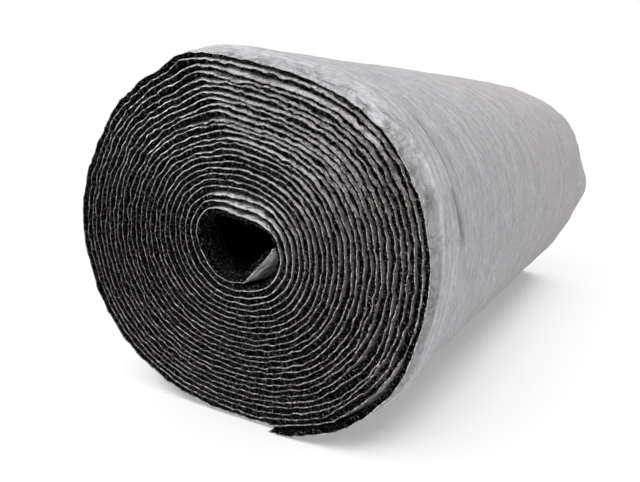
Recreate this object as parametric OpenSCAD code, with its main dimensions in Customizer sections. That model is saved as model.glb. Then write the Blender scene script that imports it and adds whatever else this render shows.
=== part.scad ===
// Roll of breather membrane: one sheet of pale membrane, bonded to a mat of black filament, wound
// without a core tube and lying on its side.
// Millimetres, +Z up, the roll's axis along Y, origin on the floor under the middle of the roll.

/* [Roll] */
// Length of the roll, which is the width of the sheet
roll_length = 1000; // [500:50:1500]
// Outside diameter before the roll settles under its own weight
roll_d = 512; // [300:10:600]
// Share by which the settled roll is wider, and lower, than it is round
settle = 0.057; // [0:0.001:0.08]
// Radius of the underside, which the roll's weight presses flatter than the rest of the section
underside_r = 500; // [320:10:900]
// How far the underside is pressed in
pressed = 1.5; // [0.5:0.5:4]
// Diameter of the bore that a spindle goes through
bore_d = 80; // [60:5:120]

/* [Sheet] */
// Whole turns of the sheet that each end shows
turns = 25; // [8:1:30]
// Gap between two turns
turn_gap = 1.6; // [0.8:0.1:2]
// Room that the loose inner end of the sheet takes inside the first turn
inner_end = 13; // [3:1:15]

/* [Ends] */
// Depth of the gap between two turns
gap_depth = 12; // [4:1:30]
// How far the outermost turn is drawn in at its edges
end_draw = 7; // [2:1:12]
// Length over which the outermost turn is drawn in
end_draw_length = 45; // [20:5:80]

/* [Loose outer end] */
// Distance from the middle of the roll to the tip of the sheet's outer end, on the floor
tail_tip = 61; // [40:2:80]

/* [Hidden] */
$fn = 180;
roll_r = roll_d / 2;
bore_r = bore_d / 2;
half_width = roll_r * (1 + settle);
half_height = roll_r * (1 - settle);
half_length = roll_length / 2;
edge_r = roll_r - end_draw;
first_turn_r = bore_r + inner_end;
turn_pitch = (edge_r - first_turn_r) / turns;
core_r = bore_r - 5;
centre_z = half_height - pressed;
end_trim = 2;
draw_steps = 6;

// The gap outside one turn, from that turn's edge to the next one's: [radius, distance from mid-length].
// The turns stand past the roll's length by the trim, which is cut off square.
function gap_after(turn) =
    let (next_r = first_turn_r + turn * turn_pitch)
    [
        [next_r - turn_gap, half_length + end_trim],
        [next_r - turn_gap, half_length - gap_depth],
        [next_r, half_length - gap_depth],
        [next_r, half_length + end_trim]
    ];

// The outside of the roll near an end, as a quarter of an ellipse that runs out into the full radius.
drawn_in = [
    for (i = [0 : draw_steps])
        let (a = 90 * i / draw_steps)
        [edge_r + end_draw * sin(a), half_length - end_draw_length * (1 - cos(a))]
];

end_profile = concat(
    [[core_r, half_length + end_trim]],
    [for (turn = [1 : turns - 1]) each gap_after(turn)],
    [[edge_r, half_length + end_trim]],
    drawn_in
);

function flipped(points) = [for (i = [len(points) - 1 : -1 : 0]) [points[i][0], -points[i][1]]];

// The wound turns as one turned solid, with every turn showing on both ends.
module wound_turns() {
    rotate_extrude()
        polygon(concat(end_profile, flipped(end_profile)));
}

// The room between the two cut ends and over the underside, which is part of a large cylinder on the floor.
module settled_room() {
    translate([0, 0, underside_r])
        rotate([90, 0, 0])
            cylinder(r = underside_r, h = roll_length, center = true);
}

// The wound turns on their side, settled to their width and height and pressed on the floor.
module settled_turns() {
    intersection() {
        translate([0, 0, centre_z])
            scale([1 + settle, 1, 1 - settle])
                rotate([90, 0, 0])
                    wound_turns();
        settled_room();
    }
}

// The sheet's outer end, which leaves the roll along a tangent and ends on the floor.
module loose_outer_end() {
    across = tail_tip / half_width;
    down = centre_z / half_height;
    lift_off = atan2(across, down) + acos(1 / norm([across, down]));
    leaves_x = half_width * sin(lift_off);
    leaves_z = centre_z - half_height * cos(lift_off);
    rotate([90, 0, 0])
        linear_extrude(roll_length - 2 * end_draw_length, center = true)
            polygon([[tail_tip, 0], [leaves_x, leaves_z], [leaves_x, 2 * leaves_z], [tail_tip, 2 * leaves_z]]);
}

module membrane_roll() {
    color("gainsboro")
        difference() {
            union() {
                settled_turns();
                loose_outer_end();
            }
            translate([0, 0, centre_z])
                rotate([90, 0, 0])
                    cylinder(r = bore_r, h = roll_length + 2, center = true);
        }
}

membrane_roll();
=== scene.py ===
"""The looks of a roll of breather membrane: a pale membrane bonded to a black mat of curly filament.

The sheet is wound outwards from its inner end, with the membrane on the outside of every turn. A place on it
is given by w, the turns wound from the inner end, and y, the place along the roll's axis. Metres, +Z up.
"""

import math

import bpy
import numpy as np
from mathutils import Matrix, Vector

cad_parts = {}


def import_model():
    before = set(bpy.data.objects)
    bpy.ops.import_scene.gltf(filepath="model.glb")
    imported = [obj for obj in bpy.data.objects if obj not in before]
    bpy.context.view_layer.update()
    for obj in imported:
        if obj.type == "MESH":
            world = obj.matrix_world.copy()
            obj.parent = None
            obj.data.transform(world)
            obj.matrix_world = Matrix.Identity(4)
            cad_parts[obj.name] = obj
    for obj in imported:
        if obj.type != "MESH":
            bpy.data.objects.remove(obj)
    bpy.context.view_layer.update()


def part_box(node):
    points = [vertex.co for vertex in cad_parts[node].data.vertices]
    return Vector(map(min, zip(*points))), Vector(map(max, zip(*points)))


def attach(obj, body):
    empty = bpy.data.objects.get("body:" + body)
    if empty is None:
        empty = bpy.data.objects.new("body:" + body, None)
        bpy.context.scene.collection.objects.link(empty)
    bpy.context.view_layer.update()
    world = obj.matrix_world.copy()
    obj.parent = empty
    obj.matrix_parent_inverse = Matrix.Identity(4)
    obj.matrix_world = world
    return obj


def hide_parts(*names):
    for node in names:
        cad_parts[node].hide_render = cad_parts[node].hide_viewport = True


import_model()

# ---------------------------------------------------------------- the roll's measures

low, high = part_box("membrane_roll")
HALF_LENGTH = high[1]
CENTRE_Z = (low[2] + high[2]) / 2
MEAN_RADIUS = (high[0] - low[0] + high[2] - low[2]) / 4
FLOOR_GAP = 0.0008  # the least height of any place above the floor

TURNS = 25.217  # from the start, on the right of the bore, to the outer end, under the roll
START = math.radians(2)  # the angle of the start, counterclockwise from +X
MEMBRANE = 0.0006  # thickness of the pale membrane
FREE_MAT = 0.0068  # thickness of the mat where nothing presses it
INNER_CUT = 0.013  # where the inner end is cut, in turns
COLLAR = 0.032  # length over which the near rim is drawn in
OUTER_START = TURNS - 1.09  # where the outermost turn's own, finer mesh begins, under the outer end
CLEARANCE = 0.0002  # between the membrane and the mat's surface under it
END_FILAMENT, BORE_FILAMENT = 0.00036, 0.0004  # radius of a filament in an end and in the bore


# ---------------------------------------------------------------- arithmetic on arrays


def smooth(x):
    """Smoothstep: 0 below 0, 1 above 1, and 3x^2 - 2x^3 between."""
    x = np.clip(x, 0.0, 1.0)
    return x * x * (3.0 - 2.0 * x)


def noise(u, v, seed):
    """Value noise from -1 to 1: random heights on a unit lattice, blended by smoothstep along u and v.

    A plain number for v picks one line of the lattice, so that each use has its own.
    """
    size = 256
    table = np.random.default_rng(seed).uniform(-1.0, 1.0, (size, size))
    u, v = np.broadcast_arrays(u, v)
    i, j = np.floor(u).astype(int), np.floor(v).astype(int)
    s, t = smooth(u - i), smooth(v - j)
    i0, i1, j0, j1 = i % size, (i + 1) % size, j % size, (j + 1) % size
    near_row = table[i0, j0] * (1 - s) + table[i1, j0] * s
    far_row = table[i0, j1] * (1 - s) + table[i1, j1] * s
    return near_row * (1 - t) + far_row * t


def kinks(u, seed):
    """A zigzag from -1 to 1: random heights at whole numbers of u, joined by straight lines."""
    size = 4096
    heights = np.random.default_rng(seed).uniform(-1.0, 1.0, size)
    i = np.floor(u).astype(int)
    t = u - i
    return heights[i % size] * (1 - t) + heights[(i + 1) % size] * t


def waves(a, cosines, sines, first):
    """Fourier series in the angle a: the sum of c cos(ka) + s sin(ka), with k counted from first."""
    total = np.zeros_like(a)
    for k, (c, s) in enumerate(zip(cosines, sines), start=first):
        total = total + c * np.cos(k * a) + s * np.sin(k * a)
    return total


def degrees_of(a):
    """The angle a in degrees, from 0 to 360."""
    return np.degrees(np.mod(a, 2 * np.pi))


def hump(a, middle, reach):
    """1 where the angle a is at the middle, falling smoothly to 0 at the reach either way, in degrees."""
    off = np.mod(degrees_of(a) - middle + 180, 360) - 180
    return smooth(1 - np.abs(off) / reach)


# ---------------------------------------------------------------- the section of the roll


def angle_of(w):
    """The angle at w turns: the sheet is wound outwards clockwise, as seen from the near end."""
    return START - 2 * np.pi * w


def sagged_oval(a):
    """The section as the roll's weight leaves it, in mean radii: a circle and a Fourier series."""
    return 1.0 + waves(a, (0.0706, -0.0043, -0.0046, -0.0073), (-0.0195, -0.0043, 0.0152, 0.0027), 2)


def body_outline(a):
    """The section between the ends, in mean radii: the sagged oval, its underside let down to the floor."""
    return sagged_oval(a) + 0.02 * hump(a, 262, 50)


def near_outline(a):
    """The near rim, in mean radii: the sagged oval, drawn in at the top and the right."""
    bulges = 0.010 * hump(a, 222, 34) - 0.006 * hump(a, 21, 20)
    flats = 0.010 * hump(a, 86, 24) + 0.009 * hump(a, 297, 15)
    return sagged_oval(a) * (0.9925 - 0.0263 * np.cos(a) - 0.0455 * np.sin(a) + bulges - flats)


def far_flare(a):
    """How far the far rim stands out, in mean radii: a bulge at the right, between a notch and a hollow."""
    bulge = 0.050 * hump(a, -3, 15) + 0.012 * hump(a, 66, 9)
    return bulge - 0.014 * hump(a, 14, 13) - 0.034 * hump(a, -36, 17)


def share(w):
    """How far out a turn lies, from 0 at the bore to 1 at the rim.

    A turn keeps its distance for most of the way round, the more so the further out it is. It makes up for
    that on its last stretch before the place of the outer end.
    """
    before_end = np.mod(TURNS - w, 1.0)
    level = before_end * (1 - smooth((before_end - 0.87) / 0.13))
    return (w + level * w / TURNS) / TURNS


def bore_outline(a):
    """The egg-shaped outline that the first turn is wound on, in mean radii, as a Fourier series."""
    return 0.2023 + waves(a, (0.0096, 0.0266, 0.0071, -0.0004), (-0.0326, -0.0235, 0.0011, -0.0039), 1)


def dent(a, q):
    """The crease at the upper left that runs through the turns, in mean radii.

    A hollow falls slowly from the left and recovers to a ridge, which fades to the right. Both lie further to
    the left in the outer turns. q is the turn's share.
    """
    d = degrees_of(a)
    hollow_at = 103 + 16 * q
    ridge_at = 66 + 42 * np.minimum(q, 1.0)
    rise = smooth((d - ridge_at) / (hollow_at - ridge_at))
    hollow = rise * smooth((147 - d) / (147 - hollow_at))
    ridge = (1 - rise) * smooth((d - ridge_at + 24) / 24)
    depth = np.interp(q, (0.05, 0.3, 0.5, 0.8, 1.0), (0.0, 0.015, 0.024, 0.021, 0.006))
    height = np.interp(q, (0.2, 0.5, 0.8, 1.0), (0.0, 0.006, 0.012, 0.018))
    return height * ridge - depth * hollow


def slack(a, w):
    """How much further out the inner turns lie than in even steps, in mean radii: most at the upper right."""
    opens = smooth((w - 1.1) / 1.7) * (1 - smooth((w - 7) / 17))
    return (0.008 + 0.021 * hump(a, 65, 95)) * opens


def stands_off(a, w):
    """How much further in the other turns lie at the lower right, where the outermost one stands off them."""
    return 0.005 * hump(a, 310, 34) * smooth(w / 14) * (1 - smooth((w - TURNS + 0.8) / 0.4))


def outer_bumps(a, q):
    """Two low bumps that the outer turns share, at the upper left and the lower right, in mean radii."""
    left = hump(a, 141, 11)
    right = hump(a, 330, 9) - hump(a, 314, 10)
    return (0.010 * left + 0.005 * right) * smooth((q - 0.6) / 0.25)


def turn_wobble(a, w):
    """The small waves of the cut edge, in metres: they nest from turn to turn and drift slowly."""
    q = w / TURNS
    s = along_sheet(w)
    coarse = noise(a * 5.2 + 40, w * 0.45, 3)
    fine = noise(a * 13.0 * (0.35 + q) + 90, w * 0.6, 4)
    own = kinks(s / 0.0125, 5)
    nicks = kinks(s / 0.0066, 6)
    steady = (0.35 + 0.65 * smooth(q / 0.5)) * (0.72 + 0.5 * hump(a, 160, 95))
    calm = 1 - 0.3 * smooth((q - 0.95) / 0.04)
    return ((0.0009 * coarse + 0.0013 * fine) * calm + 0.0013 * own) * steady + 0.0008 * nicks * calm


def quiet(w):
    """1 in the turns a little way out from the bore, whose mats hide the membrane at the top, and else 0."""
    return smooth((w - 3.2) / 0.8) * (1 - smooth((w - 8) / 6))


def lip(w, from_near):
    """How far the sheet's near edge leans in towards the bore, in metres.

    It does so in patches at the top and the lower right, and evenly over the bore. The turns under the loose
    outer end are pressed in at the lower right, and the loose inner end leans in over a greater depth.
    """
    a = angle_of(w)
    blown = noise(along_sheet(w) / 0.055, 2.5, 37)
    top = hump(a, 88, 88) * (0.0016 + 0.0036 * smooth(0.5 + 0.9 * blown)) * (1 - 0.8 * quiet(w))
    low_right = 0.0042 * hump(a, 327, 42) * smooth(0.25 + 1.2 * blown) * smooth((w - 8) / 6)
    over_bore = 0.0030 * hump(a, 62 + 14 * np.clip(w - 0.8, 0, 2.2), 70) * smooth((4 - w) / 1.5)
    inner = 1 - smooth((w - OUTER_START + 1.5) / 1.5)
    loose = 0.003 * smooth((0.32 - w) / 0.12) * (1 - smooth(from_near / 0.05))
    pressed = 0.0055 * hump(a, 320, 24) * smooth((w - TURNS + 4.5) / 3) * smooth((TURNS - 0.75 - w) / 0.1)
    pressed = pressed * (1 - smooth(from_near / 0.010))
    return (top + low_right + over_bore) * inner * (1 - smooth(from_near / 0.013)) + loose + pressed


def frayed(w):
    """How much thicker than the membrane its cut near edge is, in metres.

    It is so unevenly, and more so low down and at the upper left of the outer turns.
    """
    a = angle_of(w)
    uneven = 0.5 + 0.5 * noise(along_sheet(w) / 0.018, 3.5, 38)
    upper_left = 1.3 * hump(a, 128, 42) * smooth((w - 4) / 6)
    return 0.0006 * uneven * (0.4 + 1.2 * smooth(-np.sin(a)) + upper_left)


def above_floor(a, radius):
    """The radius, kept short of the floor."""
    down = np.maximum(-np.sin(a), 0.05)
    return np.minimum(radius, (CENTRE_Z - FLOOR_GAP) / down)


def flap_radius(a, from_near):
    """The flat loose inner end, in mean radii: a chord of the bore, further out away from the near edge."""
    off = np.mod(a - math.radians(-43) + np.pi, 2 * np.pi) - np.pi
    return (0.199 + 0.018 * smooth(from_near / 0.040)) / np.cos(np.clip(off, -1.2, 1.2))


def outside_outline(a, from_near, from_far):
    """The outside at the given distances from the two ends, in mean radii.

    The near rim's outline gives way to the body's over the length of the collar, which is longer at the top.
    The body swells behind the rim at the lower right, widens slightly along the roll and flares at its end.
    """
    collar = COLLAR * (1 + 0.9 * hump(a, 88, 60))
    drawn = (1 - np.clip(from_near / collar, 0, 1)) ** 1.35
    flare = far_flare(a) * smooth((0.085 - from_far) / 0.07) * (1 - 0.3 * smooth((0.014 - from_far) / 0.014))
    swell = 0.034 * hump(a, 308, 36) * np.exp(-(((from_near - 0.050) / 0.05) ** 2))
    body = body_outline(a) * (1 + 0.012 * smooth(from_near / (2 * HALF_LENGTH))) + flare + swell
    return body + (near_outline(a) - body) * drawn


def membrane_radius(w, y):
    """The distance of the membrane's outer face from the roll's middle, in metres.

    The turns lie between the bore's outline and the outside in equal steps, and are then moved by the crease,
    the bumps and the slack. The loose inner end is flat, and the outer end stands out a little.
    """
    a = angle_of(w)
    q = share(w)
    from_near = y + HALF_LENGTH
    from_far = HALF_LENGTH - y
    outside = outside_outline(a, from_near, from_far)
    inside = bore_outline(a)
    r = inside + (outside - inside) * q + dent(a, q) + outer_bumps(a, q) + slack(a, w) - stands_off(a, w)
    r = r + 0.005 * smooth((w - TURNS + 0.13) / 0.1)
    flap = np.minimum(r, flap_radius(a, from_near)) - 0.002
    r = r + (flap - r) * smooth((0.34 - w) / 0.08)
    ends = np.exp(-np.maximum(from_near, 0) / 0.03) + np.exp(-np.maximum(from_far, 0) / 0.03)
    return above_floor(a, MEAN_RADIUS * r + turn_wobble(a, w) * ends - lip(w, from_near))


def near_edge(w):
    """Where the sheet's near edge lies along the roll: the turns are uneven, and the outer end stands out."""
    uneven = 0.0012 * noise(w * 2.3, 0.5, 7) + 0.0007 * noise(w * 31, 0.5, 8)
    return -HALF_LENGTH + uneven - 0.009 * smooth((w - TURNS + 0.22) / 0.2)


def far_edge(w):
    """Where the sheet's far edge lies: the inner turns stand out past the outermost ones."""
    stands_out = 0.013 * smooth((TURNS - 0.9 - w) / 0.5) * (0.75 + 0.25 * noise(w * 1.7, 3.5, 9))
    return HALF_LENGTH - 0.004 + stands_out + 0.001 * noise(w * 27, 0.5, 10)


def place(w, y, radius):
    """Points at the angle of w and the given radius, kept just above the floor."""
    a = angle_of(w)
    x = radius * np.cos(a)
    z = CENTRE_Z + radius * np.sin(a)
    z = np.maximum(z, FLOOR_GAP)
    return np.stack(np.broadcast_arrays(x, y, z), axis=-1)


def along_sheet(w):
    """Length of sheet wound by turn w, in metres: the integral of the mean radius over the angle."""
    mean = MEAN_RADIUS * (0.205 * w + 0.795 * w * w / (2 * TURNS))
    return 2 * np.pi * mean


def stations(start, end, spacing):
    """Values of w from start to end, about the given spacing apart along the sheet."""
    fine = np.linspace(start, end, 20001)
    length = along_sheet(fine)
    count = int((length[-1] - length[0]) / spacing) + 2
    return np.interp(np.linspace(length[0], length[-1], count), length, fine)


# ---------------------------------------------------------------- meshes from arrays


def grid_faces(rows, columns, closed):
    """Quads of a grid of points numbered row by row. closed joins the last column to the first."""
    i, j = np.meshgrid(np.arange(rows - 1), np.arange(columns if closed else columns - 1), indexing="ij")
    following = (j + 1) % columns
    corners = (i * columns + j, i * columns + following, (i + 1) * columns + following, (i + 1) * columns + j)
    return np.stack([c.ravel() for c in corners], axis=-1)


def make_mesh(name, points, quads, fans=(), flat=None):
    """An object whose mesh has these points and quads, and a few faces of more corners, put in as arrays.

    It is smooth, apart from the quads marked in flat, which meet their neighbours at a crisp edge.
    """
    mesh = bpy.data.meshes.new(name)
    points = np.ascontiguousarray(points.reshape(-1, 3), dtype=np.float32)
    extra = [np.asarray(f, dtype=np.int32) for f in fans]
    loops = np.concatenate([quads.ravel().astype(np.int32), *extra])
    sizes = np.concatenate([np.full(len(quads), 4), [len(f) for f in extra]]).astype(np.int32)
    starts = np.concatenate([[0], np.cumsum(sizes)[:-1]]).astype(np.int32)
    mesh.vertices.add(len(points))
    mesh.vertices.foreach_set("co", points.ravel())
    mesh.loops.add(len(loops))
    mesh.loops.foreach_set("vertex_index", loops)
    mesh.polygons.add(len(sizes))
    mesh.polygons.foreach_set("loop_start", starts)
    mesh.polygons.foreach_set("loop_total", sizes)
    mesh.update(calc_edges=True)
    mesh.validate()
    rounded = np.ones(len(mesh.polygons), dtype=bool)
    if flat is not None:
        rounded[: len(flat)] = ~flat
    mesh.polygons.foreach_set("use_smooth", rounded)
    piece = bpy.data.objects.new(name, mesh)
    bpy.context.scene.collection.objects.link(piece)
    return piece


def lay_pattern(piece, along, crosswise):
    """Gives each corner its place on the flat sheet, in metres along and across, as the piece's UV map."""
    mesh = piece.data
    corner = np.empty(len(mesh.loops), dtype=np.int32)
    mesh.loops.foreach_get("vertex_index", corner)
    flat = np.stack([along.ravel()[corner], crosswise.ravel()[corner]], axis=-1).astype(np.float32)
    mesh.uv_layers.new(name="sheet").data.foreach_set("uv", flat.ravel())


def wound_band(name, w, y, outside, inside, shared, crisp=True):
    """A closed band: a profile across the sheet, carried along the turns w. Crisp keeps its cut faces flat.

    The profile runs over the outside at each y, and back over the inside at the columns numbered in shared,
    which start with the first and end with the last. y and outside have one row for each w, and inside gives
    a radius for each shared column. Each cut end is closed by one face for each inside step.
    """
    front = place(w[:, None], y, outside)
    back = place(w[:, None], y[:, shared], inside)
    points = np.concatenate([front, back[:, ::-1]], axis=1)
    width = points.shape[1]
    caps = []
    for k in range(len(shared) - 1):
        face = np.array([*range(shared[k], shared[k + 1] + 1), width - 2 - k, width - 1 - k])
        caps += [face, face[::-1] + (len(w) - 1) * width]
    quads = grid_faces(len(w), width, closed=True)[:, ::-1]
    column = np.tile(np.arange(width), len(w) - 1)
    cut = (column == y.shape[1] - 1) | (column == width - 1)
    piece = make_mesh(name, points, quads, caps, cut if crisp else None)
    lay_pattern(piece, np.repeat(along_sheet(w)[:, None], width, axis=1), points[..., 1])
    return piece


def tube(path, radius):
    """Points of a three-sided tube along each path: at each point, three places round its tangent.

    The sides are set out from the tangent and the roll's axis, so that a curl in the end's plane has none of
    them twisted.
    """
    tangent = np.gradient(path, axis=-2)
    tangent /= np.linalg.norm(tangent, axis=-1, keepdims=True) + 1e-12
    level = np.cross(tangent, (0.05, 1.0, 0.03))
    level /= np.linalg.norm(level, axis=-1, keepdims=True) + 1e-12
    upright = np.cross(tangent, level)
    turn = np.arange(3) * 2 * np.pi / 3
    ring = level[..., None, :] * np.cos(turn)[:, None] + upright[..., None, :] * np.sin(turn)[:, None]
    return path[..., None, :] + radius * ring


def filament(name, paths, radius):
    """A joined mesh of tubes, one along each row of points in paths, with their ends closed."""
    rings = tube(paths, radius)
    strands, rows = paths.shape[0], paths.shape[1]
    offset = (np.arange(strands) * rows * 3)[:, None, None]
    quads = (grid_faces(rows, 3, closed=True)[None] + offset).reshape(-1, 4)
    start = offset[:, 0] + np.array([0, 1, 2])
    end = offset[:, 0] + (rows - 1) * 3 + np.array([2, 1, 0])
    return make_mesh(name, rings, quads[:, ::-1], list(start) + list(end))


# ---------------------------------------------------------------- the sheet


def across(w, from_near, from_far):
    """Places across the sheet for each w: distances in from its near edge, then in from its far edge."""
    near = near_edge(w)[:, None] + np.array(from_near)
    far = far_edge(w)[:, None] - np.array(from_far)
    return np.concatenate([near, far], axis=1)


def wound_membrane():
    """The membrane of all turns but the outermost: a thin closed band that follows membrane_radius."""
    w = stations(INNER_CUT, OUTER_START + 0.03, 0.0042)
    y = across(w, (0, 0.004, 0.009, 0.035, 0.2), (0.2, 0.085, 0.02, 0.004, 0))
    outside = membrane_radius(w[:, None], y)
    shared = [0, 2, 4, 5, 6, 9]
    inside = outside[:, shared] - MEMBRANE
    inside[:, 0] -= frayed(w)
    return wound_band("membrane_turns", w, y, outside, inside, shared)


# the ridges behind the near rim: each one's distance from the rim, how far that wanders, and its height
RIDGES = ((0.0225, 0.002, 0.0019), (0.038, 0.006, 0.0014), (0.052, 0.006, 0.0015), (0.066, 0.006, 0.0010))
RIDGE_WIDTH = 0.0036


def rim_folds(w, y):
    """Folds of the outermost turn behind the near rim, in metres out: low ridges that run round the roll."""
    s = along_sheet(w)
    from_near = y + HALF_LENGTH
    total = 0.0
    for k, (middle, wanders, height) in enumerate(RIDGES):
        ridge_at = middle + wanders * noise(s / 0.16, 0.5, 26 + k)
        come_and_go = smooth(0.7 + noise(s / 0.12, 4.5, 46 + k))
        total = total + height * come_and_go * np.exp(-(((from_near - ridge_at) / RIDGE_WIDTH) ** 2))
    return total


def outer_relief(w, y):
    """All of the outermost turn's own folds, in metres out from its mean face.

    Streaks run round the roll, close together. Near the rim, short crumples run in from the edge, in front of
    the ridges.
    """
    s = along_sheet(w)
    from_near = y + HALF_LENGTH
    slant = y + 0.05 * s
    streaks = 0.0005 * noise(s / 0.030, slant / 0.0085, 21) + 0.0007 * noise(s / 0.075, slant / 0.019, 22)
    swells = 0.0016 * noise(s / 0.30, y / 0.16, 23)
    at_rim = np.exp(-(((from_near - 0.012) / 0.012) ** 2))
    crumples = 0.0014 * noise(s / 0.034, from_near / 0.014, 25)
    folds = streaks * (1 - 0.5 * at_rim) + swells + crumples * at_rim + rim_folds(w, y)
    return folds * smooth(from_near / 0.006)


# each long crease: its middle and reach in degrees round the roll, its y, lean per degree, width and depth
LONG_CREASES = ((28, 11.5, -0.4315, 0.0, 0.0042, 0.0011), (9.5, 9, -0.4255, -0.0014, 0.0066, 0.0014))
CREASE_PAINTED_SHADE = 2.5  # how many times over its depth a long crease is painted as shade in the finish


def long_crease(w, y):
    """Two valleys that run round the right-hand side, in metres in from the face."""
    a = angle_of(w)
    off = np.mod(degrees_of(a) + 180, 360) - 180
    total = np.zeros(np.broadcast(w, y).shape)
    for middle, reach, middle_y, lean, width, depth in LONG_CREASES:
        distance = y - (middle_y + lean * (off - middle))
        lasts = smooth(2.2 * (1 - np.abs(off - middle) / reach))
        total = total + depth * lasts * np.exp(-((distance / width) ** 2))
    return total


def sheet_radius(w, y):
    """The membrane's outer face with the outermost turn's folds, which fade in under the loose outer end."""
    shows = smooth((w - OUTER_START - 0.01) / 0.03)
    folded = membrane_radius(w, y) + shows * (outer_relief(w, y) - long_crease(w, y))
    return above_floor(angle_of(w), folded)


def under(outside, shared):
    """The membrane's inner face at the shared columns, clear of the outer face's dips between them.

    Each lies a membrane's thickness under the lowest place from the shared column before it to the one after.
    """
    last = len(shared) - 1
    spans = [(shared[max(k - 1, 0)], shared[min(k + 1, last)] + 1) for k in range(1, last)]
    between_ends = [outside[:, start:stop].min(axis=1) for start, stop in spans]
    return np.stack([outside[:, 0], *between_ends, outside[:, -1]], axis=1) - MEMBRANE


def outer_turn():
    """The outermost turn: fine across the whole width, as it is the one that shows, with its folds.

    Its columns are 2 mm apart on the collar, and about 5 mm apart elsewhere. Each outer point also holds the
    height of its ridges less its long creases, these counted several times over. From it the finish paints
    shade in the creases and highlights on the ridges.
    """
    w = stations(OUTER_START, TURNS, 0.0066)
    collar_columns = 46
    near = np.concatenate([np.linspace(0, 0.09, collar_columns), np.linspace(0.09, 0.5, 80)[1:]])
    far = np.concatenate([np.linspace(0, 0.03, 7), np.linspace(0.03, 0.5, 86)[1:]])
    y = across(w, near, far[::-1][1:])
    sparse = np.linspace(collar_columns, y.shape[1] - 1, 24).astype(int)
    shared = np.unique([*range(collar_columns), *sparse])
    outside = sheet_radius(w[:, None], y)
    inside = under(outside, shared)
    inside[:, 0] -= frayed(w)
    band = wound_band("membrane_outer_turn", w, y, outside, inside, shared)
    painted_fold_light_and_shade = np.zeros((len(w), y.shape[1] + len(shared)))
    # painted shade in the long creases and painted light on the ridges, handed to the finish
    painted_fold_light_and_shade[:, : y.shape[1]] = rim_folds(w[:, None], y) - CREASE_PAINTED_SHADE * long_crease(w[:, None], y)
    heights = band.data.attributes.new("painted_fold_light_and_shade", "FLOAT", "POINT")
    heights.data.foreach_set("value", painted_fold_light_and_shade.astype(np.float32).ravel())
    return band


# ---------------------------------------------------------------- the mat of curly filament


def dragged(w):
    """1 where the mat lies back from the cut edge and off the turn below: at the right and upper right."""
    a = angle_of(w)
    patches = 0.45 * noise(along_sheet(w) / 0.07, 1.5, 34)
    covered = 0.78 * quiet(w) * hump(a, 72, 70)
    return smooth(0.30 + 1.0 * np.cos(a - math.radians(25)) + patches) * smooth(w / 0.8) * (1 - covered)


def mat_thickness(w, y):
    """The mat fills the room down to the turn below it, or less of it at the top and where it is dragged.

    In the first turn nothing is below it, and it is free. At the outer end it tapers to the cut.
    """
    s = along_sheet(w)
    room = sheet_radius(w, y) - MEMBRANE - membrane_radius(w - 1, y)
    uneven = noise(s / 0.012, 0.5, 31)
    a = angle_of(w)
    over_bore = hump(a, 70, 75) * smooth((5 - w) / 2.2)
    at_top = hump(a, 104, 42) * (1 - quiet(w)) * smooth(w / 6)
    at_rim = hump(a, 75, 60) * smooth((w - TURNS + 4) / 2)
    share_filled = 0.95 - 0.12 * dragged(w) - 0.24 * at_top
    filled = room * share_filled + (0.0003 + 0.0004 * dragged(w)) * uneven - 0.0002
    filled = np.minimum(filled, FREE_MAT * (1 - 0.36 * over_bore - 0.42 * at_rim) + 0.0004 * uneven)
    loose = smooth((w - TURNS + 0.07) / 0.05)
    filled = filled + (np.minimum(room, 1.1 * FREE_MAT) - filled) * loose
    free = 0.8 * FREE_MAT + 0.0006 * uneven
    thick = filled + (free - filled) * smooth((1.03 - w) / 0.05)
    return thick * (0.12 + 0.88 * smooth((TURNS - w) / 0.042))


def mat_recess(w):
    """How far the mat's cut edge lies in from the membrane's: only where it is dragged back, and unevenly."""
    s = along_sheet(w)
    uneven = 0.0012 * noise(s / 0.042, 0.5, 32) + 0.0009 * noise(s / 0.012, 0.5, 33)
    return 0.0001 + dragged(w) * (0.0018 + uneven)


def mat_body():
    """The dark depth of the mat behind its curls: a closed band under the membrane, rounded at both edges.

    Inside the outermost turn it keeps clear of the membrane's folds.
    """
    w = stations(INNER_CUT, TURNS, 0.0115)
    near, far = (0.0, 0.0006, 0.0028, 0.012, 0.05, 0.25), (0.25, 0.09, 0.03, 0.012, 0.0028, 0.0006, 0.0)
    recess = mat_recess(w)[:, None] + 0.0014
    y = across(w, near, far) + recess * np.repeat((1, -1), (len(near), len(far)))
    depth = np.array(near + far)
    shrink = np.interp(depth, (0.0, 0.0006, 0.0028), (0.14, 0.05, 0.0))
    clear = 0.0036 * smooth((w[:, None] - OUTER_START) / 0.04) * smooth((depth - 0.002) / 0.02)
    outside = sheet_radius(w[:, None], y) - MEMBRANE - CLEARANCE
    thick = mat_thickness(w[:, None], y)
    shared = list(range(len(depth)))
    inside = outside - thick + shrink * thick
    return wound_band("mat_body", w, y, outside - shrink * thick - clear, inside, shared, crisp=False)


def ragged_edge():
    """The mat's ragged near edge: a narrow closed band in front of its body.

    It is notched along the side away from the membrane. The depth of the notches is the sum of two zigzags,
    and greatest where the mat is dragged.
    """
    w = stations(INNER_CUT, TURNS, 0.0023)
    s = along_sheet(w)
    y = near_edge(w)[:, None] + mat_recess(w)[:, None] + np.array((0.0006, 0.0040))
    notches = 0.0015 * kinks(s / 0.0043, 35) + 0.0009 * kinks(s / 0.0105, 36)
    notches = (notches * (0.5 + 0.7 * dragged(w)))[:, None] * np.array((1.0, 0.6))
    outside = sheet_radius(w[:, None], y) - MEMBRANE - CLEARANCE
    thick = np.maximum(mat_thickness(w[:, None], y) - 0.0006 + notches, 0.001)
    return wound_band("mat_ragged_edge", w, y, outside - 0.03 * thick, outside - thick, [0, 1], crisp=False)


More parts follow.
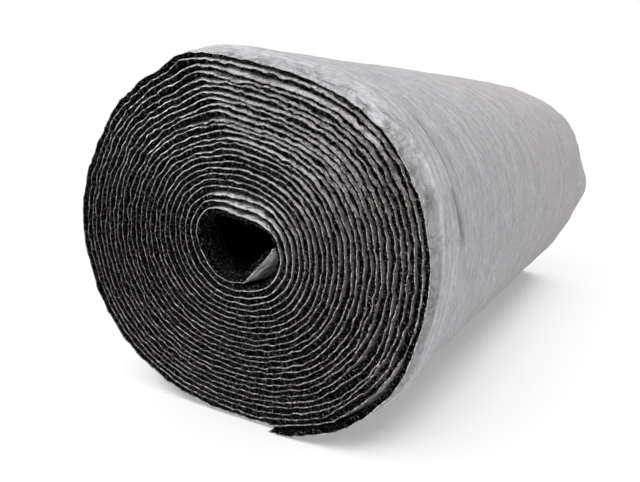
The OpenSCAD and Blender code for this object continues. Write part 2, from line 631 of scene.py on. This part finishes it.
def curls(name, seed, end, advance, per_curl):
    """Curly filament in the cut edge of the mat, all along the sheet: end is -1 for the near one, else 1.

    A curl is a circle in the plane of the end, carried along the turn: out by A cos(p) from the mat's middle,
    and along by A sin(p), while p grows by a full circle for each advance. Its pace, size and depth drift by
    noise. Where it crosses the membrane's edge it lies just outside it.
    """
    w = stations(INNER_CUT, TURNS, advance / per_curl)
    s = along_sheet(w)
    pace = 1 + 0.4 * noise(s / 0.03, 0.5, seed)
    phase = 2 * np.pi * np.cumsum(pace) / per_curl + 1.6 * noise(s / 0.011, 0.5, seed + 6)
    edge = near_edge(w) if end < 0 else far_edge(w)
    thick = mat_thickness(w, edge)
    size = thick * (0.50 + 0.20 * noise(s / 0.007, 1.5, seed + 1))
    stray = (0.0008 + 0.0010 * dragged(w)) * smooth(noise(s / 0.009, 5.5, seed + 5) * 2 - 0.4)
    out = size * np.cos(phase) + 0.0006 * noise(s / 0.004, 2.5, seed + 2) - stray
    out = np.minimum(out, thick / 2 + 0.0008 - 0.0014 * smooth((w - OUTER_START) / 0.05))
    along = 0.0034 * np.sin(phase) + 0.002 * noise(s / 0.006, 3.5, seed + 3)
    deep = 0.0022 + 0.0020 * np.sin(phase * 0.37) + 0.0014 * noise(s / 0.005, 4.5, seed + 4)
    over_membrane = smooth((out - thick / 2 + 0.0004) / 0.0005)
    depth = np.maximum(deep, 0.0) + mat_recess(w) - 0.0012
    proud = 0.0008
    y = edge - end * (depth - (proud + depth) * over_membrane)
    middle = sheet_radius(w, y) - MEMBRANE - thick / 2
    turned = w + along / (2 * np.pi * np.maximum(middle, 0.03))
    path = place(turned, y, middle + out)
    return filament(name, path[None], END_FILAMENT)


def bore_curls():
    """Curls on the inside of the bore, in rows from the near end inwards, like rings of stitches."""
    rows, advance, per_curl = 18, 0.0065, 7
    round_bore = 0.36
    count = int(round_bore / advance * per_curl)
    w = np.linspace(INNER_CUT + 0.01, 1.0, count)[None, :]
    s = along_sheet(w) + 0.33 * w
    row = np.arange(rows)[:, None]
    phase = 2 * np.pi * s / advance + 2.5 * noise(s / 0.012, row * 1.37, 51) + row * 1.9
    y = -HALF_LENGTH + 0.006 + 0.0072 * row + 0.0042 * np.cos(phase)
    y = y + 0.002 * noise(s / 0.01, row * 2.1, 52)
    inward = 0.0014 * (1 + noise(s / 0.006, row * 1.7, 53)) + 0.0008 * np.sin(phase * 0.61)
    radius = sheet_radius(w, y) - MEMBRANE - mat_thickness(w, y) - inward
    turned = w + 0.0036 * np.sin(phase) / (2 * np.pi * 0.05)
    return filament("mat_bore_curls", place(turned, y, radius), BORE_FILAMENT)


# ---------------------------------------------------------------- finishes


def material(name, base, roughness):
    """A new material and its Principled shader, with its plain values set on its own sockets."""
    made = bpy.data.materials.new(name)
    made.use_nodes = True
    shader = made.node_tree.nodes["Principled BSDF"]
    shader.inputs["Base Color"].default_value = (*base, 1.0)
    shader.inputs["Roughness"].default_value = roughness
    made.diffuse_color = (*base, 1.0)
    return made, shader


def add(tree, kind, **values):
    """A new node, with its settings and its inputs' values set by name."""
    node = tree.nodes.new(kind)
    for key, value in values.items():
        if hasattr(node, key):
            setattr(node, key, value)
        else:
            node.inputs[key.replace("_", " ")].default_value = value
    return node


def swayed(tree, source, scale, reach):
    """The given coordinates, pushed about by soft noise so that lines drawn on them waver."""
    push = add(tree, "ShaderNodeTexNoise", Scale=scale, Detail=2.0)
    moved = add(tree, "ShaderNodeVectorMath", operation="MULTIPLY_ADD")
    moved.inputs[1].default_value = (reach, reach, 0.0)
    tree.links.new(source, push.inputs["Vector"])
    tree.links.new(push.outputs["Color"], moved.inputs[0])
    tree.links.new(source, moved.inputs[2])
    return moved.outputs["Vector"]


def stretched_noise(tree, source, scale, detail, stretch=(1.0, 1.0, 1.0), turned=0.0):
    """Noise on the given coordinates, turned and stretched by a Mapping node. Returns its value socket."""
    mapping = add(tree, "ShaderNodeMapping")
    mapping.inputs["Scale"].default_value = stretch
    mapping.inputs["Rotation"].default_value = (0.0, 0.0, math.radians(turned))
    tree.links.new(source, mapping.inputs["Vector"])
    texture = add(tree, "ShaderNodeTexNoise", Scale=scale, Detail=detail)
    tree.links.new(mapping.outputs["Vector"], texture.inputs["Vector"])
    return texture.outputs["Fac"]


def ramp(tree, source, stops):
    """A colour ramp over (place, colour) stops, driven by the given socket. Returns its colour socket."""
    node = add(tree, "ShaderNodeValToRGB")
    for k, (at, colour) in enumerate(stops):
        stop = node.color_ramp.elements[k] if k < 2 else node.color_ramp.elements.new(at)
        stop.position = at
        stop.color = (*colour, 1.0)
    tree.links.new(source, node.inputs["Fac"])
    return node.outputs["Color"]


def mixed(tree, blend, first, second, kind="MIX"):
    """Two colours mixed by the named blend type, the second one by the blend. Each may be a socket."""
    node = add(tree, "ShaderNodeMix", data_type="RGBA", blend_type=kind)
    for number, value in ((0, blend), (6, first), (7, second)):
        socket = node.inputs[number]
        if isinstance(value, bpy.types.NodeSocket):
            tree.links.new(value, socket)
        elif isinstance(value, tuple):
            socket.default_value = (*value, 1.0)
        else:
            socket.default_value = value
    return node.outputs[2]


def tinted(tree, colour, tint, strength=1.0):
    """The colour multiplied by a tint, as strongly as the number or socket says."""
    return mixed(tree, strength, colour, tint, "MULTIPLY")


def bumped(tree, shader, layers):
    """Chains a bump node for each (height socket, distance) into the shader's normal."""
    normal = None
    for height, distance in layers:
        bump = add(tree, "ShaderNodeBump", Strength=1.0, Distance=distance)
        tree.links.new(height, bump.inputs["Height"])
        if normal is not None:
            tree.links.new(normal, bump.inputs["Normal"])
        normal = bump.outputs["Normal"]
    tree.links.new(normal, shader.inputs["Normal"])


def multiplied(tree, first, second):
    """The product of two sockets' values."""
    node = add(tree, "ShaderNodeMath", operation="MULTIPLY")
    tree.links.new(first, node.inputs[0])
    tree.links.new(second, node.inputs[1])
    return node.outputs[0]


def between(tree, source, first, last, low=0.0, most=1.0):
    """A socket that goes from low to most as the source goes from first to last, and stays within them."""
    node = add(tree, "ShaderNodeMapRange", From_Min=first, From_Max=last, To_Min=low, To_Max=most)
    tree.links.new(source, node.inputs["Value"])
    return node.outputs["Result"]


def part_of(tree, vector, axis, absolute=False):
    """One coordinate of a vector socket, or its size."""
    split = add(tree, "ShaderNodeSeparateXYZ")
    tree.links.new(vector, split.inputs[0])
    if not absolute:
        return split.outputs[axis]
    size = add(tree, "ShaderNodeMath", operation="ABSOLUTE")
    tree.links.new(split.outputs[axis], size.inputs[0])
    return size.outputs[0]


def round_from(tree, bearing):
    """The cosine of the angle, seen along the roll, between a place and a bearing in degrees from +X."""
    spot = add(tree, "ShaderNodeTexCoord").outputs["Object"]
    across_roll = add(tree, "ShaderNodeVectorMath", operation="MULTIPLY_ADD")
    across_roll.inputs[1].default_value = (1.0, 0.0, 1.0)
    across_roll.inputs[2].default_value = (0.0, 0.0, -CENTRE_Z)
    unit = add(tree, "ShaderNodeVectorMath", operation="NORMALIZE")
    lined_up = add(tree, "ShaderNodeVectorMath", operation="DOT_PRODUCT")
    towards = math.radians(bearing)
    lined_up.inputs[1].default_value = (math.cos(towards), 0.0, math.sin(towards))
    tree.links.new(spot, across_roll.inputs[0])
    tree.links.new(across_roll.outputs["Vector"], unit.inputs[0])
    tree.links.new(unit.outputs["Vector"], lined_up.inputs[0])
    return lined_up.outputs["Value"]


WHITE = (1.0, 1.0, 1.0)
EVEN_TONE_FROM = float(along_sheet(TURNS - 1.14))  # the length of sheet from which the membrane is darkened evenly, in place of dust and painted shade


def grey(tone):
    """The colour with the same tone in all three parts."""
    return (tone, tone, tone)


def on_sheet(tree, sheet, first, last):
    """0 at the first length of sheet wound from the inner end, and 1 at the last."""
    return between(tree, part_of(tree, sheet, "X"), first, last)


def from_near_end(tree, sheet, first, last):
    """0 at the first distance from the roll's near end, and 1 at the last."""
    return between(tree, part_of(tree, sheet, "Y"), -HALF_LENGTH + first, -HALF_LENGTH + last)


def looks_up(tree, first, last):
    """0 where the surface's normal rises by the first share, and 1 where it rises by the last."""
    facing = add(tree, "ShaderNodeTexCoord").outputs["Normal"]
    return between(tree, part_of(tree, facing, "Z"), first, last)


def woven_tone(tree, sheet, light, dark, streaks, fibres):
    """Clouds from dark to light on the sheet, with streaks and fibres a little darker on top."""
    clouds = stretched_noise(tree, sheet, 30.0, 5.0, (0.6, 1.0, 1.0))
    tone = ramp(tree, clouds, ((0.32, dark), (0.68, light)))
    streak_tone = ramp(tree, streaks, ((0.36, (0.88, 0.88, 0.885)), (0.60, WHITE)))
    fibre_tone = ramp(tree, fibres, ((0.36, (0.78, 0.78, 0.79)), (0.62, WHITE)))
    return tinted(tree, tinted(tree, tone, streak_tone), fibre_tone)


def mat_flecks_and_painted_shade(tree, sheet, colour):
    """The colour between the turns: flecks of the mat, and dust and painted shade where it doesn't look up.

    The first turns, round the bore, have no flecks, and the last one is darkened evenly instead of by dust
    and painted shade.
    """
    specks = stretched_noise(tree, sheet, 380.0, 4.0)
    flecks = ramp(tree, specks, ((0.52, WHITE), (0.64, (0.55, 0.53, 0.53))))
    colour = tinted(tree, colour, flecks)
    colour = mixed(tree, on_sheet(tree, sheet, 1.5, 1.2), colour, (0.88, 0.87, 0.865))
    # dust, and painted shade where the surface doesn't look up
    dust_and_painted_light = mixed(tree, looks_up(tree, 0.32, 0.88), (0.222, 0.198, 0.196), WHITE)
    # on the last turn an even darkening takes the place of the dust and painted shade
    last_turn = on_sheet(tree, sheet, EVEN_TONE_FROM - 0.14, EVEN_TONE_FROM)
    dust_and_painted_light = mixed(tree, last_turn, dust_and_painted_light, (0.62, 0.61, 0.615))
    return tinted(tree, colour, dust_and_painted_light)


def loose_end_tone(tree, sheet, colour):
    """The colour with the sheet's loose inner end clean, and paler further in from the near end as painted
    light.
    """
    # painted light: paler deeper in, where shade falls in the loose end's gap
    inwards = from_near_end(tree, sheet, 0.001, 0.014)
    clean = mixed(tree, inwards, (0.52, 0.51, 0.505), (0.80, 0.79, 0.78))
    return mixed(tree, on_sheet(tree, sheet, 0.12, 0.095), colour, clean)


def outside_tone(tree, sheet, colour):
    """The colour of the outside: painted highlights on the ridges, painted shade in the creases, warmer to
    the far end.

    It has painted shade on the drawn-in collar, where that doesn't look up.
    """
    painted_fold_light_and_shade = add(tree, "ShaderNodeAttribute", attribute_name="painted_fold_light_and_shade").outputs["Fac"]
    # painted shade in the creases and painted highlights on the ridges, from the folds' heights
    from_crease_to_ridge = between(tree, painted_fold_light_and_shade, -0.004, 0.002)
    steps = ((0.0, grey(0.42)), (0.5, grey(0.78)), (0.67, WHITE), (0.9, grey(1.12)))
    colour = tinted(tree, colour, ramp(tree, from_crease_to_ridge, steps))
    towards_far = between(tree, part_of(tree, sheet, "Y"), -0.35, 0.35)
    colour = tinted(tree, colour, (1.04, 0.985, 0.955), towards_far)
    # painted shade on the drawn-in collar, where it faces sideways or down
    painted_shade_on_collar = multiplied(tree, looks_up(tree, 0.75, 0.40), from_near_end(tree, sheet, 0.0215, 0.018))
    return tinted(tree, colour, (0.77, 0.76, 0.76), painted_shade_on_collar)


def cut_edge_tone(tree, sheet):
    """The cut edge: pale with dark specks, paler round the bore, and paler at the upper left as painted
    light.
    """
    specks = stretched_noise(tree, sheet, 260.0, 3.0)
    plain = ramp(tree, specks, ((0.42, (0.17, 0.155, 0.152)), (0.58, (0.60, 0.575, 0.57))))
    pale = ramp(tree, specks, ((0.40, (0.50, 0.49, 0.49)), (0.54, (0.95, 0.94, 0.94))))
    # painted light: the cut edges are paler at the upper left of the end
    upper = mixed(tree, between(tree, round_from(tree, 122), 0.72, 0.96), plain, pale)
    round_bore = between(tree, part_of(tree, sheet, "X"), 1.5, 1.2, 0.0, 0.35)
    return mixed(tree, round_bore, upper, pale)


def rim_flutes(tree, sheet):
    """The short, uneven flutes that run in from the near rim: their heights, and how much they show."""
    flutes = stretched_noise(tree, swayed(tree, sheet, 60.0, 0.016), 105.0, 3.0, (1.0, 0.26, 1.0), 14.0)
    patches = between(tree, stretched_noise(tree, sheet, 22.0, 2.0), 0.40, 0.62)
    return flutes, multiplied(tree, from_near_end(tree, sheet, 0.030, 0.006), patches)


def nonwoven(name, light, dark, rubbed):
    """Pale nonwoven membrane: matte and cloudy, with short fibres that waver along the sheet.

    Rubbed is for the turns that lie against the mat: they get its flecks, dust and painted shade where they
    don't look up, and painted light on the loose inner end.
    """
    made, shader = material(name, light, 0.8)
    shader.inputs["Specular IOR Level"].default_value = 0.2
    tree = made.node_tree
    sheet = add(tree, "ShaderNodeUVMap", uv_map="sheet").outputs["UV"]
    wavering = swayed(tree, sheet, 45.0, 0.020)
    streaks = stretched_noise(tree, wavering, 120.0, 6.0, (0.42, 1.0, 1.0), -22.0)
    fibres = stretched_noise(tree, wavering, 340.0, 6.0, (0.36, 1.0, 1.0), 14.0)
    crumple = stretched_noise(tree, wavering, 55.0, 4.0, (0.5, 1.0, 1.0), -20.0)
    flutes, fluted = rim_flutes(tree, sheet)
    colour = woven_tone(tree, sheet, light, dark, streaks, fibres)
    if rubbed:
        colour = loose_end_tone(tree, sheet, mat_flecks_and_painted_shade(tree, sheet, colour))
    else:
        # painted highlights and shade on the rim's flutes, paler than white at their crests
        painted_flute_light_and_shade = ramp(tree, flutes, ((0.38, (0.74, 0.74, 0.75)), (0.50, WHITE), (0.58, grey(1.2))))
        colour = tinted(tree, outside_tone(tree, sheet, colour), painted_flute_light_and_shade, fluted)
    facing = add(tree, "ShaderNodeTexCoord").outputs["Normal"]
    cut = between(tree, part_of(tree, facing, "Y", absolute=True), 0.85, 0.95)
    colour = mixed(tree, cut, colour, cut_edge_tone(tree, sheet))
    tree.links.new(colour, shader.inputs["Base Color"])
    shown_flutes = multiplied(tree, flutes, fluted)
    bumped(tree, shader, ((shown_flutes, 0.020), (crumple, 0.0070), (streaks, 0.0020), (fibres, 0.0013)))
    return made


def filament_plastic():
    """Black extruded filament: slightly glossy, with pale flecks near the ends: dust, fibre and painted
    glints.
    """
    made, shader = material("black_filament", (0.012, 0.011, 0.011), 0.45)
    shader.inputs["Specular IOR Level"].default_value = 0.10
    tree = made.node_tree
    place_on = add(tree, "ShaderNodeTexCoord").outputs["Object"]
    # pale flecks near the ends: dust and fibre, and painted glints of light on the filament
    dust_and_painted_light = stretched_noise(tree, place_on, 380.0, 3.0)
    stops = ((0.48, (0.0015, 0.0013, 0.0013)), (0.56, (0.03, 0.026, 0.026)), (0.65, (0.28, 0.255, 0.255)))
    off_middle = part_of(tree, place_on, "Y", absolute=True)
    near_an_end = between(tree, off_middle, HALF_LENGTH - 0.05, HALF_LENGTH - 0.012)
    colour = mixed(tree, near_an_end, (0.001, 0.0009, 0.0009), ramp(tree, dust_and_painted_light, stops))
    tree.links.new(colour, shader.inputs["Base Color"])
    return made


def mat_depth():
    """The mat seen in depth: nearly black, pitted like a tangle of filament."""
    made, shader = material("mat_depth", grey(0.002), 0.9)
    shader.inputs["Specular IOR Level"].default_value = 0.0
    tree = made.node_tree
    place_on = add(tree, "ShaderNodeTexCoord").outputs["Object"]
    tangle = stretched_noise(tree, place_on, 420.0, 4.0)
    colour = ramp(tree, tangle, ((0.56, grey(0.0004)), (0.72, (0.07, 0.062, 0.062))))
    tree.links.new(colour, shader.inputs["Base Color"])
    bumped(tree, shader, ((tangle, 0.004),))
    return made


# ---------------------------------------------------------------- the pieces

OUTER_FINISH = nonwoven("nonwoven_membrane", (0.638, 0.634, 0.655), (0.545, 0.541, 0.558), False)
# The membrane between the turns is far paler than the same membrane outside: painted light in the gaps, which
# its painted shade takes down where it doesn't look up.
INNER_FINISH = nonwoven("nonwoven_between_turns", (0.96, 0.945, 0.94), (0.82, 0.805, 0.80), True)
FILAMENT_FINISH = filament_plastic()
DEPTH_FINISH = mat_depth()


def finish_piece(piece, finish):
    """Gives a piece its finish and its slot, in place of the roll's solid."""
    piece.data.materials.append(finish)
    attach(piece, "root")
    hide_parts("membrane_roll")
    return piece


turns = finish_piece(wound_membrane(), INNER_FINISH)
outermost = finish_piece(outer_turn(), OUTER_FINISH)
mat = [
    finish_piece(mat_body(), DEPTH_FINISH),
    finish_piece(ragged_edge(), DEPTH_FINISH),
    finish_piece(curls("mat_near_curls_a", 61, -1, 0.0062, 6), FILAMENT_FINISH),
    finish_piece(curls("mat_near_curls_b", 71, -1, 0.0062, 6), FILAMENT_FINISH),
    finish_piece(curls("mat_far_curls", 81, 1, 0.0095, 5), FILAMENT_FINISH),
    finish_piece(bore_curls(), FILAMENT_FINISH),
]


# ---------------------------------------------------------------- floor, light and camera


def shown_directly(tree):
    """1 for a ray from the camera, or one that metal or glass passes on, and 0 for one that only lights."""
    rays = add(tree, "ShaderNodeLightPath")
    shown = rays.outputs["Is Camera Ray"]
    for kind in ("Is Glossy Ray", "Is Transmission Ray"):
        either = add(tree, "ShaderNodeMath", operation="MAXIMUM")
        tree.links.new(shown, either.inputs[0])
        tree.links.new(rays.outputs[kind], either.inputs[1])
        shown = either.outputs[0]
    return shown


def chosen_shader(tree, lighting, shown, output):
    """Joins two shaders to the output: shown for the rays that show it directly, lighting for the rest."""
    chosen = add(tree, "ShaderNodeMixShader")
    tree.links.new(shown_directly(tree), chosen.inputs[0])
    tree.links.new(lighting, chosen.inputs[1])
    tree.links.new(shown, chosen.inputs[2])
    tree.links.new(chosen.outputs[0], tree.nodes[output].inputs["Surface"])


def floor_finish():
    """A white floor that lights the roll as it is, and is shown with its lit part plain white.

    Shown, it is a glow with a little of the lamps' shadow, and a painted shadow, darker where the roll takes
    up the air round it.
    """
    made, shader = material("white_floor", grey(0.90), 0.9)
    shader.inputs["Specular IOR Level"].default_value = 0.0
    tree = made.node_tree
    # painted shadow: the floor is shown darker where the roll shuts it in
    open_air = add(tree, "ShaderNodeAmbientOcclusion", Distance=0.30)
    tones = ((0.28, 0.42), (0.36, 0.65), (0.44, 0.84), (0.54, 0.94), (0.72, 1.0))
    shade = ramp(tree, open_air.outputs["AO"], [(open_share, grey(tone)) for open_share, tone in tones])
    shadowed = add(tree, "ShaderNodeBsdfDiffuse")
    glow = add(tree, "ShaderNodeEmission", Strength=0.87)
    both = add(tree, "ShaderNodeAddShader")
    tree.links.new(tinted(tree, shade, grey(0.15)), shadowed.inputs["Color"])
    tree.links.new(shade, glow.inputs["Color"])
    tree.links.new(shadowed.outputs[0], both.inputs[0])
    tree.links.new(glow.outputs[0], both.inputs[1])
    chosen_shader(tree, shader.outputs[0], both.outputs[0], "Material Output")
    return made


def floor():
    """A square of floor under the roll, wide enough to reach past what the camera sees."""
    mesh = bpy.data.meshes.new("floor")
    reach = 12.0
    corners = [(-reach, -reach, 0), (reach, -reach, 0), (reach, reach, 0), (-reach, reach, 0)]
    mesh.from_pydata(corners, [], [(0, 1, 2, 3)])
    mesh.materials.append(floor_finish())
    ground = bpy.data.objects.new("floor", mesh)
    bpy.context.scene.collection.objects.link(ground)


def soft_sun(name, bearing, height, spread, strength):
    """A distant lamp at a bearing from -Y towards +X and a height, in degrees, as soft as its spread."""
    lamp = bpy.data.lights.new(name, "SUN")
    lamp.energy = strength
    lamp.angle = math.radians(spread)
    holder = bpy.data.objects.new(name, lamp)
    holder.rotation_euler = (math.radians(90 - height), 0.0, math.radians(bearing))
    bpy.context.scene.collection.objects.link(holder)


def world():
    """An even white surround, dimmer as a light than as it is shown."""
    surround = bpy.data.worlds.new("surround")
    bpy.context.scene.world = surround
    surround.use_nodes = True
    tree = surround.node_tree
    light = add(tree, "ShaderNodeBackground", Color=(*WHITE, 1.0), Strength=0.33)
    backdrop = tree.nodes["Background"]
    backdrop.inputs["Color"].default_value = (*WHITE, 1.0)
    backdrop.inputs["Strength"].default_value = 1.0
    chosen_shader(tree, light.outputs[0], backdrop.outputs[0], "World Output")


def camera():
    """The eye: to the right of the near end and above it, looking along the roll and down."""
    lens = bpy.data.cameras.new("camera")
    lens.sensor_width = 36.0
    lens.lens = 33.75
    eye = bpy.data.objects.new("camera", lens)
    right, before, above = 1.8367 * MEAN_RADIUS, 2.2572 * MEAN_RADIUS, 0.6189 * MEAN_RADIUS
    eye.location = (right, -HALF_LENGTH - before, CENTRE_Z + above)
    turn, down = math.radians(30.664), math.radians(12.044)
    eye.rotation_euler = (math.pi / 2 - down, 0.0, turn)
    bpy.context.scene.collection.objects.link(eye)
    bpy.context.scene.camera = eye


floor()
world()
soft_sun("key", bearing=-14, height=53, spread=65, strength=2.95)
soft_sun("fill", bearing=50, height=8, spread=40, strength=0.26)
camera()
bpy.context.scene.view_settings.view_transform = "Standard"
